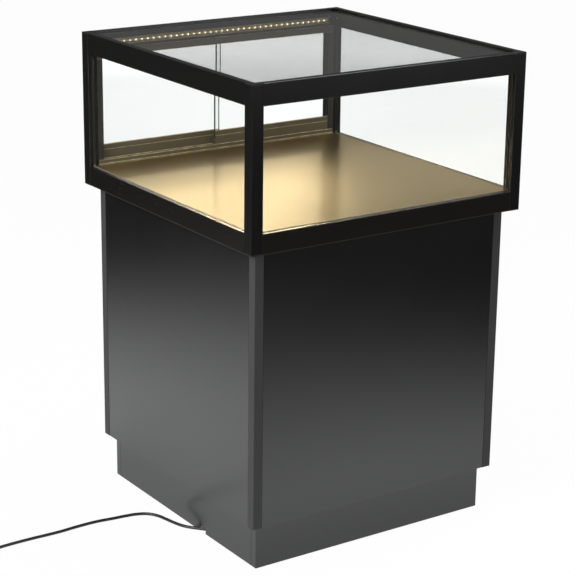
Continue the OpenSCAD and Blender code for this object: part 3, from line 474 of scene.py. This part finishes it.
def joined(*pieces):
    """Makes one piece of several, named for the first."""
    bpy.ops.object.select_all(action="DESELECT")
    for piece in pieces:
        piece.select_set(True)
    bpy.context.view_layer.objects.active = pieces[0]
    bpy.ops.object.join()
    return pieces[0]


def settle(piece, name, finishes, slot, *stands_for, body="case", paint=None, smooth=35):
    """Names a piece, paints its faces, smooths its small angles and lets it ride on its body."""
    piece.name = piece.data.name = name
    if finishes:
        piece.data.materials.clear()
        for one in finishes:
            piece.data.materials.append(one)
    if paint:
        for face in piece.data.polygons:
            face.material_index = paint(face)
    bpy.ops.object.select_all(action="DESELECT")
    piece.select_set(True)
    bpy.context.view_layer.objects.active = piece
    bpy.ops.object.shade_smooth_by_angle(angle=math.radians(smooth))
    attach(piece, body)
    if stands_for:
        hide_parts(*stands_for)
    return piece


def block(low, high, arris, segments=2):
    """A block between two corners with its edges taken off, left open."""
    low, high = Vector(low), Vector(high)
    start(bpy.ops.mesh.primitive_cube_add, size=1, location=(low + high) / 2, scale=high - low)
    pick("edges", lambda edge: True)
    bpy.ops.mesh.bevel(offset=arris, segments=segments, affect="EDGES")


def thin_axis(low, high):
    size = high - low
    return min(range(3), key=lambda i: size[i])


# Mains cord

# All lengths of the cord's route and coil are in millimetres
CORD_ROUTE = [
    (-150, -112, 74), (-160, -112, 74), (-172, -112, 72.8), (-187, -112, 66), (-201, -111, 52),
    (-214, -108.5, 34), (-227, -102.5, 17), (-240, -91, 6.5), (-252, -77, 3.1), (-264, -64, 3.1),
    (-275, -51, 3.1), (-285, -35, 3.1), (-292, -14, 3.1), (-297, 9, 3.1), (-303, 32, 3.1),
    (-315, 50, 3.1), (-333, 60, 3.1), (-357, 65, 3.1), (-384, 68, 3.1), (-412, 72, 3.1),
    (-440, 73, 3.1), (-468, 72, 3.1), (-496, 70, 3.1), (-524, 70, 3.1), (-552, 71, 3.1),
    (-580, 71, 3.2), (-608, 70, 3.4), (-634, 68, 3.7), (-658, 67, 3.9), (-670, 67, 3.9),
]
CORD_D, COIL_R, COIL_STEP, COIL_TURNS, COIL_RINGS = 6, 26.5, 6.6, 5.25, 24
COIL_OUT = COIL_R + COIL_STEP * COIL_TURNS / 2
COIL_MID = Vector((-676, 67 + COIL_OUT, 3.9))


def coil_point(turn):
    """A point of the coil, which winds inwards on the floor and outwards again on top of itself."""
    off = turn - COIL_TURNS / 2
    angle, reach = math.radians(-90 - 360 * turn), COIL_R + COIL_STEP * abs(off)
    share = min(max(2 * off + 0.5, 0), 1)
    rise = COIL_STEP * share * share * (3 - 2 * share)
    return COIL_MID + Vector((reach * math.cos(angle), reach * math.sin(angle), rise))


def smooth_line(name, points, diameter):
    """A round cord through points given in millimetres, and its length in metres."""
    line = bpy.data.curves.new(name, "CURVE")
    line.dimensions, line.resolution_u, line.bevel_depth = "3D", 5, diameter * MM / 2
    line.bevel_resolution, line.use_fill_caps = 5, True
    run = line.splines.new("BEZIER")
    run.bezier_points.add(len(points) - 1)
    for spot, point in zip(run.bezier_points, points):
        spot.co = Vector(point) * MM
        spot.handle_left_type = spot.handle_right_type = "AUTO"
    piece = bpy.data.objects.new(name, line)
    bpy.context.scene.collection.objects.link(piece)
    bpy.context.view_layer.update()
    length = 0
    for a, b in zip(run.bezier_points, run.bezier_points[1:]):
        bits = interpolate_bezier(a.co, a.handle_right, b.handle_left, b.co, 12)
        length += sum((q - p).length for p, q in zip(bits, bits[1:]))
    return piece, length


def lay_cord():
    """The mains cord: out of the driver, under the plinth's left board, along the floor and into its coil."""
    loops = [coil_point(i / COIL_RINGS) for i in range(round(COIL_TURNS * COIL_RINGS) + 1)]
    into_plug = loops[-1] + Vector((0, CORD_D, 0))
    cord, length = smooth_line("mains_cord", CORD_ROUTE + loops + [into_plug], CORD_D)
    cord.data.materials.append(SHEATH)
    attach(cord, "case")
    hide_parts("power_cord", "cord_coil")
    return cord, length


def turned(name, at, axis, stations, sides=32):
    """A round piece: a disc that is extruded along an axis and resized at each station (distance, radius)."""
    turn = Vector((0, 0, 1)).rotation_difference(axis)
    at, axis = Vector(at), Vector(axis).normalized()
    start(bpy.ops.mesh.primitive_circle_add, vertices=sides, radius=stations[0][1], fill_type="NGON",
          location=at + axis * stations[0][0], rotation=turn.to_euler())
    bpy.ops.mesh.select_all(action="SELECT")
    for (near, was), (far, now) in zip(stations, stations[1:]):
        bpy.ops.mesh.extrude_region_move(TRANSFORM_OT_translate={"value": axis * (far - near)})
        grow = now / was
        bpy.ops.transform.resize(value=(grow, grow, grow), center_override=at + axis * far)
    bpy.ops.mesh.select_all(action="SELECT")
    bpy.ops.mesh.normals_make_consistent(inside=False)
    piece = shut()
    piece.name = name
    return piece


def ribbed(length, start_r, end_r, ribs, depth):
    """Stations of a strain relief: a taper with grooves round it."""
    found = [(0, start_r * 0.86), (length * 0.015, start_r)]
    for i in range(ribs):
        for share, cut in ((0.1, 0), (0.25, 1), (0.6, 1), (0.75, 0)):
            at = (0.06 + 0.84 * (i + share) / ribs)
            found.append((length * at, start_r + (end_r - start_r) * at - cut * depth))
    return found + [(length, end_r)]


SLEEVE_R = 3.6 * MM


def make_relief():
    """Strain relief at the driver."""
    low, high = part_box("cord_strain_relief")
    mid = (low + high) / 2
    relief = turned("driver_relief", (low.x, mid.y, mid.z), Vector((1, 0, 0)),
                    ribbed(high.x - low.x, SLEEVE_R, (high.z - low.z) / 2, 5, 0.9 * MM))
    settle(relief, "driver_relief", [SHEATH], "cord", "cord_strain_relief")


def make_plug():
    """The plug: a ribbed neck, and a body that tapers towards it and has a sunk grip on each side."""
    low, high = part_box("cord_plug")
    mid = (low + high) / 2
    neck_l, into_body = 26 * MM, 0.4 * MM
    neck_end = low.y + neck_l
    body_mid = (neck_end + high.y) / 2
    neck = turned("plug_neck", (mid.x, low.y, mid.z), Vector((0, 1, 0)),
                  ribbed(neck_l + into_body, SLEEVE_R, 5.5 * MM, 6, 0.7 * MM))
    start(bpy.ops.mesh.primitive_cube_add, size=1, location=(mid.x, body_mid, mid.z),
          scale=(high.x - low.x, high.y - neck_end, high.z - low.z))
    pick("edges", lambda edge: abs((edge.verts[0].co - edge.verts[1].co).y) > 10 * MM)
    bpy.ops.mesh.subdivide(number_cuts=1)
    pick("faces", lambda face: face.normal.y < -0.9)
    bpy.ops.transform.resize(value=(0.8, 1, 0.8), center_override=(mid.x, neck_end, mid.z))
    pick("faces", lambda face: abs(face.normal.x) > 0.5 and middle(face).y > body_mid)
    bpy.ops.mesh.inset(thickness=3.2 * MM, use_individual=True)
    bpy.ops.mesh.inset(thickness=0.5 * MM, depth=-0.7 * MM, use_individual=True)
    body = shut()
    apply(body, "BEVEL", width=1.6 * MM, segments=4, limit_method="ANGLE", angle_limit=math.radians(50))
    return settle(joined(body, neck), "two_pin_plug", [SHEATH], "cord", "cord_plug")


def make_pins():
    """The plug's two flat pins, narrowed at their tips."""
    low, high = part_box("plug_pins")
    thick = 1.5 * MM
    pins = []
    for left in (low.x, high.x - thick):
        block((left, low.y, low.z), (left + thick, high.y, high.z), 0.3 * MM)
        pick("faces", lambda face: face.normal.y > 0.9)
        tip = (left + thick / 2, high.y, (low.z + high.z) / 2)
        bpy.ops.transform.resize(value=(0.6, 1, 0.75), center_override=tip)
        pins.append(shut())
    return settle(joined(*pins), "plug_blades", [BRASS], "pin_brass", "plug_pins")


def make_tie():
    """The tie round the coil: a flat band, bent over the cord's turns."""
    wide, thick = 10 * MM, 0.6 * MM
    inner = (COIL_R - CORD_D / 2 - COIL_STEP / 4) * MM - thick
    outer = (COIL_OUT + CORD_D / 2 + COIL_STEP / 4) * MM + thick
    block((inner, -wide / 2, 0), (outer, wide / 2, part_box("cord_tie")[1].z), 1.6 * MM, 4)
    pick("faces", lambda face: abs(face.normal.y) > 0.3)
    bpy.ops.mesh.delete(type="FACE")
    tie = shut()
    apply(tie, "SOLIDIFY", thickness=thick, offset=-1)
    coil = Matrix.Translation((COIL_MID.x * MM, COIL_MID.y * MM, 0))
    tie.data.transform(coil @ Matrix.Rotation(math.radians(60), 4, "Z"))
    return settle(tie, "coil_tie", [PLASTIC], "black_plastic", "cord_tie")


set_camera()
cord, cord_length = lay_cord()
make_relief()
plug, pins, tie = make_plug(), make_pins(), make_tie()


# Glass

def make_pane(name, node, body="case"):
    """A pane with seamed edges: clear faces and a ground edge."""
    low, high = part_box(node)
    thin = thin_axis(low, high)
    block(low, high, 0.8 * MM)
    return settle(shut(), name, [GLASS, EDGE], "glass", node, body=body, smooth=1,
                  paint=lambda face: 0 if abs(face.normal[thin]) > 0.98 else 1)


for pane, node, body in (
    ("top_pane", "top_glass", "case"), ("front_pane", "front_glass", "case"),
    ("left_pane", "left_glass", "case"), ("right_pane", "right_glass", "case"),
    ("left_door_pane", "left_door_glass", "left_door"), ("right_door_pane", "right_door_glass", "right_door"),
):
    make_pane(pane, node, body)


# Boards

PLINTH_ARRIS = 0.8 * MM


def make_panel(name, node, arris):
    """A laminated board: its edge band shows as a fine seam round the face."""
    low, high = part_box(node)
    thin = thin_axis(low, high)
    block(low, high, arris)
    pick("faces", lambda face: abs(face.normal[thin]) > 0.98)
    bpy.ops.mesh.inset(thickness=1.0 * MM, use_individual=True)
    bpy.ops.mesh.inset(thickness=0.15 * MM, depth=-0.06 * MM, use_individual=True)
    return settle(shut(), name, [LAMINATE], "panel", node, smooth=1)


for side in SIDES:
    make_panel(side + "_panel", "body_panel_" + side, 0.6 * MM)
for side in ("front", "rear", "right"):
    make_panel(side + "_plinth_board", "plinth_" + side, PLINTH_ARRIS)


def make_cord_side_board():
    """The plinth's left board, with the low arch that the cord passes under."""
    low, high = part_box("plinth_left")
    mid_y, half, tall, past = -70.5 * MM, 17 * MM, 10 * MM, 10 * MM
    block((low.x - past, mid_y - half, -tall), (high.x + past, mid_y + half, tall), 0.1 * MM, 1)
    arch = shut()
    apply(arch, "BEVEL", width=tall * 0.98, segments=10, limit_method="ANGLE", angle_limit=math.radians(80))
    block(low, high, PLINTH_ARRIS)
    piece = shut()
    apply(piece, "BOOLEAN", object=arch, operation="DIFFERENCE", solver="EXACT")
    bpy.data.objects.remove(arch)
    settle(piece, "left_plinth_board", [LAMINATE], "panel", "plinth_left", smooth=12)


make_cord_side_board()


# Extrusions and the deck

def opened_copy(name, node, *finishes):
    """A copy of a node's mesh with its finishes, its flat faces made whole again, left open for shaping."""
    bpy.ops.object.select_all(action="DESELECT")
    piece = bpy.data.objects.new(name, nodes[node].data.copy())
    piece.data.materials.clear()
    for one in finishes:
        piece.data.materials.append(one)
    bpy.context.scene.collection.objects.link(piece)
    piece.select_set(True)
    bpy.context.view_layer.objects.active = piece
    bpy.ops.object.mode_set(mode="EDIT")
    bpy.ops.mesh.select_all(action="SELECT")
    bpy.ops.mesh.remove_doubles(threshold=0.005 * MM)
    bpy.ops.mesh.dissolve_limited(angle_limit=math.radians(0.5))


def is_sharp(edge):
    return edge.is_manifold and edge.is_convex and edge.calc_face_angle() > math.radians(50)


CASE_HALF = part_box("post_caps")[1].x


def make_extrusion(name, node, along, finishes, slot, arris, body="case"):
    """A cut length of extrusion. Its long edges, and the ends that show at a joint, are eased and take its
    last finish.
    """
    opened_copy(name, node, *finishes)
    low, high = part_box(node)
    axis = "xyz".index(along)
    shortest, skin = 20 * MM, 0.5 * MM

    def long_corner(edge):
        run = edge.verts[1].co - edge.verts[0].co
        return is_sharp(edge) and run.length > shortest and abs(run[axis]) > 0.999 * run.length

    def shown_end(edge):
        at = middle(edge)
        at_end = min(at[axis] - low[axis], high[axis] - at[axis]) < 0.01 * MM
        past_skin = max(abs(at.x) - CASE_HALF, abs(at.y) - CASE_HALF, at.z - cad_box[1].z) > -skin
        return is_sharp(edge) and at_end and past_skin

    pick("edges", lambda edge: long_corner(edge) or shown_end(edge))
    bpy.ops.mesh.bevel(offset=arris, segments=3, affect="EDGES", clamp_overlap=True,
                       material=len(finishes) - 1)
    return settle(shut(), name, None, slot, node, body=body, smooth=1)


CORNERS = ("front_left", "front_right", "rear_left", "rear_right")
FRAME_ARRIS, TRACK_ARRIS = 0.7 * MM, 0.9 * MM
for corner in CORNERS:
    make_extrusion("case_post_" + corner, "post_" + corner, "z", (FRAME["z"], FRAME_EDGE),
                   "frame", FRAME_ARRIS)
for level, flat, edge in (("top", FRAME, FRAME_EDGE), ("bottom", SILL, SILL_EDGE)):
    for side in SIDES:
        along = "x" if side in ("front", "rear") else "y"
        make_extrusion(side + "_" + level + "_rail", level + "_rail_" + side, along, (flat[along], edge),
                       "frame", FRAME_ARRIS)
for level in ("upper", "lower"):
    make_extrusion(level + "_track", level + "_door_track", "x", (WARM_LIT_BRONZE, BRONZE_EDGE), "track", TRACK_ARRIS)
make_extrusion("light_bar", "led_bar", "x", (WARM_LIT_BRONZE, BRONZE_EDGE), "track", 0.4 * MM)
make_extrusion("door_jamb_pair", "door_jambs", "z", (JAMB, FRAME_EDGE), "track", 0.5 * MM)
for side in ("left", "right"):
    make_extrusion(side + "_shoe", side + "_door_shoe", "x", (WARM_LIT_BRONZE, BRONZE_EDGE), "track", TRACK_ARRIS,
                   side + "_door")
for corner in CORNERS:
    make_extrusion("pedestal_post_" + corner, "body_post_" + corner, "z", (POST,), "body_post", 1.0 * MM)


def make_deck():
    """The deck with its lip: every edge of the laminate is eased."""
    opened_copy("deck_board", "deck_panel", DECK)
    pick("edges", is_sharp)
    bpy.ops.mesh.bevel(offset=0.5 * MM, segments=2, affect="EDGES", clamp_overlap=True)
    settle(shut(), "deck_board", None, "deck", "deck_panel", smooth=1)


make_deck()


# Light strip and its lead

def make_leds():
    """The strip's LEDs: a white housing with a lit phosphor window, made once and repeated."""
    block(LED_LOW, (LED_LOW.x + LED_WIDE, LED_HIGH.y, LED_HIGH.z), 0.15 * MM, 1)
    pick("faces", lambda face: face.normal.y < -0.98)
    bpy.ops.mesh.inset(thickness=0.2 * MM)
    bpy.ops.mesh.inset(thickness=0.15 * MM, depth=-0.25 * MM)
    leds = shut()
    window = LED_LOW.y + 0.2 * MM
    apply(leds, "ARRAY", count=LED_COUNT, use_relative_offset=False, use_constant_offset=True,
          constant_offset_displace=(LED_PITCH, 0, 0))
    settle(leds, "leds", [HOUSING, GLOW], "led", "led_chips",
           paint=lambda face: int(face.normal.y < -0.98 and window < face.center.y < window + 0.6 * MM))


def make_lead():
    """The lead from the driver through the boards and the rear right post. Its route is in millimetres."""
    thick, bend = 4, 8
    low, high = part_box("led_lead")
    driver_low, driver_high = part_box("led_driver")
    from_y = (driver_low.y + driver_high.y) / 2 / MM
    under, bar = low.z / MM + thick / 2, high.z / MM - thick / 2
    riser, gap, rail, post, bar_x, bar_y = 235, 646.8, 294.4, 293, 255, 279
    right, back, up = (Vector(way) for way in ((1, 0, 0), (0, 1, 0), (0, 0, 1)))
    bends = (
        ((riser, from_y, under), right, back), ((riser, riser, under), back, up),
        ((riser, riser, gap), up, back), ((riser, rail, gap), back, right),
        ((post, rail, gap), right, up), ((post, rail, bar), up, -right),
        ((bar_x, rail, bar), -right, -back),
    )
    points = [Vector((driver_high.x / MM, from_y, under))]
    for corner, into, out in bends:
        corner = Vector(corner)
        mid = corner + bend * (1 - math.sqrt(0.5)) * (out - into)
        points += [corner - bend * into, mid, corner + bend * out]
    points.append(Vector((bar_x, bar_y, bar)))
    lead, _ = smooth_line("lighting_lead", points, thick)
    spots = lead.data.splines[0].bezier_points
    for spot in spots:
        spot.handle_left_type = spot.handle_right_type = "VECTOR"
    bpy.context.view_layer.update()
    for spot in spots[1:-1]:
        spot.handle_left_type = spot.handle_right_type = "AUTO"
    lead.data.materials.append(SHEATH)
    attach(lead, "case")
    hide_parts("led_lead")


make_leds()
make_lead()


# Finishes of the nodes that stay as they are

def dress(finish_used, *names):
    for name in names:
        for slot in nodes[name].material_slots:
            slot.material = finish_used


dress(PLASTIC, "post_caps", "led_end_caps")
dress(STEEL, "rail_locks", "lock_screws", "pedestal_screws")
dress(SEAL, "seals_and_tapes")
dress(NYLON, "left_door_glides", "right_door_glides")
dress(STRIP, "led_board")
dress(DRIVER, "led_driver")
dress(BOARD, "deck_battens", "case_floor", "pedestal_top", "pedestal_bottom", "plinth_blocks")


# Floor, surroundings and lamps

def ray_kinds(begin):
    """Three masks of rays: seen directly or straight through glass, the latter alone, and mirrored."""
    camera = begin.add("LightPath", out="Is Camera Ray")
    through, glossy, diffuse = (
        camera.beside(out) for out in ("Is Transmission Ray", "Glossy Depth", "Diffuse Depth"))
    direct = 1 - (diffuse > 0.5)
    mirrored = (glossy > 0.5) * direct
    straight = through * (direct - mirrored)
    return camera | straight, straight, mirrored


def lay_floor():
    """A pale floor that keeps a soft shadow. Reflections show a painted pool of light, bright near the object
    and dim far off, and a painted shadow round the plinth.

    Through the panes it is drawn brighter than white, to make up for the light that they take away.
    """
    bpy.ops.object.select_all(action="DESELECT")
    bpy.ops.mesh.primitive_plane_add(size=40, location=(0, 0, -0.5 * MM))
    floor = bpy.context.object
    floor.name = "floor"
    made, begin = bare_material("pale_floor")
    place = begin.add("TexCoord", out="Object")
    seen, straight, mirrored = ray_kinds(begin)
    away = place.add("VectorMath", {"operation": "DISTANCE"}, {0: place, 1: (-0.15, 0.1, 0)}, out="Value")
    x, y, _ = axes_of(place)
    # Painted pool of light, seen in reflections: bright near the object, dim far off
    pool = 1 - eased(away, 0.62, 1.95)
    # Painted shadow round the plinth, seen in reflections
    outside_plinth_shadow = eased(abs(x) | abs(y), 0.25, 0.6)
    tone = between(pool * (outside_plinth_shadow * 0.3 + 0.7), (0.02, 0.019, 0.018), (0.98, 0.99, 1.0))
    matte = begin.add("BsdfDiffuse", {}, {"Color": between(seen, grey(0.8), grey(0.9))})
    left = eased(y - x, 0, 1.5)
    through_panes = eased(away, 4.2, 5.2) * (0.69 - left * 0.1) + left * 0.13 + 0.14
    strength = straight * through_panes + mirrored * 0.15 + 1
    white = begin.add("Emission", {}, {"Color": between(seen, tone, grey(1)), "Strength": strength})
    begin.add("MixShader", {}, {0: (seen * 0.97) | mirrored, 1: matte, 2: white}).show()
    floor.data.materials.append(made)


def light_surroundings():
    """White behind the object and through the glass, a dim room in reflections, and a soft fill."""
    world = bpy.data.worlds.new("studio")
    bpy.context.scene.world = world
    world.use_nodes = True
    tree = world.node_tree
    seen, _, mirrored = ray_kinds(Wire(tree))
    room = between(mirrored, grey(0.2), grey(0.1))
    tree.links.new(between(seen, room, grey(1)).socket, tree.nodes["Background"].inputs["Color"])


def lay_card():
    """A level white card behind the doors. Only reflections, mainly in the deck and the rails, show it.

    Beside the doors, where the deck mirrors it past the rear right post, it is grey.
    """
    bpy.ops.object.select_all(action="DESELECT")
    bpy.ops.mesh.primitive_plane_add(size=1)
    card = bpy.context.object
    card.name = "white_card"
    card.data.transform(Matrix.Translation((0.75, 0.76, 0.885)) @ Matrix.Diagonal((2.1, 0.88, 1, 1)))
    made, begin = bare_material("card_white")
    mirrored = ray_kinds(begin)[2]
    x, y, _ = axes_of(begin.add("TexCoord", out="Object"))
    dim = between(eased(y, 0.4, 1.0), grey(0.72), grey(0.46))
    past_post = eased(x - (y - 0.37) * 0.67, 0.21, 0.41)
    white = begin.add("Emission", {}, {"Color": between(past_post, grey(1.38), dim)})
    begin.add("MixShader", {}, {0: mirrored, 1: begin.add("BsdfTransparent"), 2: white}).show()
    card.data.materials.append(made)
    card.visible_camera = card.visible_diffuse = card.visible_shadow = False


def hang_lamp(name, place, aim, wide, tall, power, colour=(1, 1, 1), spread=180):
    light = bpy.data.lights.new(name, "AREA")
    light.shape, light.size, light.size_y, light.energy, light.color = "RECTANGLE", wide, tall, power, colour
    light.spread = math.radians(spread)
    lamp = bpy.data.objects.new(name, light)
    bpy.context.scene.collection.objects.link(lamp)
    place = Vector(place)
    turn = (Vector(aim) - place).to_track_quat("-Z", "Y").to_matrix().to_4x4()
    lamp.matrix_world = Matrix.Translation(place) @ turn
    lamp.visible_camera = lamp.visible_transmission = False
    return lamp


def light_from_strip(name, power, colour, *lit):
    """The light of the LED strip on the pieces named."""
    before_leds, wide, tall, spread = 0.2712, 0.51, 0.004, 146
    glow = hang_lamp(name, (0, before_leds, LED_Z), (0, -1, LED_Z), wide, tall, power, colour, spread)
    receivers = bpy.data.collections.new(name)
    for piece in lit:
        receivers.objects.link(bpy.data.objects[piece])
    glow.light_linking.receiver_collection = receivers


lay_floor()
light_surroundings()
lay_card()
hang_lamp("key_lamp", (-3.2, -0.6, 2.4), (0, 0, 0.5), 1.6, 1.6, 131)
hang_lamp("fill_lamp", (2.0, -3.3, 1.3), (0, 0, 0.6), 1.2, 1.6, 17)
hang_lamp("top_lamp", (1.3, -0.2, 2.9), (0, 0, 0.9), 1.4, 0.8, 40)
hang_lamp("side_lamp", (-2.7, -1.9, 0.8), (0, 0, 0.8), 0.25, 1.2, 8)
light_from_strip("deck_glow", 5.8, (1.0, 0.94, 0.8), "deck_board")
light_from_strip("rail_glow", 3.4, (1.0, 0.82, 0.5),
                 "front_bottom_rail", "left_bottom_rail", "right_bottom_rail",
                 "lower_track", "left_shoe", "right_shoe", "seals_and_tapes")

bpy.context.scene.view_settings.view_transform = "Standard"
